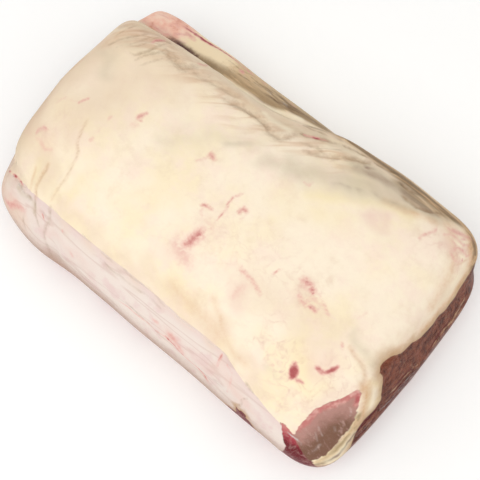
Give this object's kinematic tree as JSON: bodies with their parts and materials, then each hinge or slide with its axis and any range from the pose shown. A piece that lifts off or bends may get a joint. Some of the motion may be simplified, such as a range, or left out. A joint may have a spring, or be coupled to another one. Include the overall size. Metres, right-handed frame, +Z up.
{
  "type": "raw beef ribeye roll",
  "caption": "Boneless raw beef ribeye roll in a tight clear vacuum bag: a long rounded block with a fat cover, a low lip along one side and cut lean ends.",
  "frame": {"origin": "middle of the bounding box at the underside that the roll lies on", "axes": "+X along the roll towards the end with the trimmed lean corner, +Y across towards the low lip, +Z up through the fat cover"},
  "size_m": [0.367, 0.227, 0.109],
  "materials": {
    "ribeye_roll": "cream beef fat under tight clear film, satin to glossy"
  },
  "bodies": {
    "root": {"ribeye_roll": "ribeye_roll"}
  },
  "joints": []
}
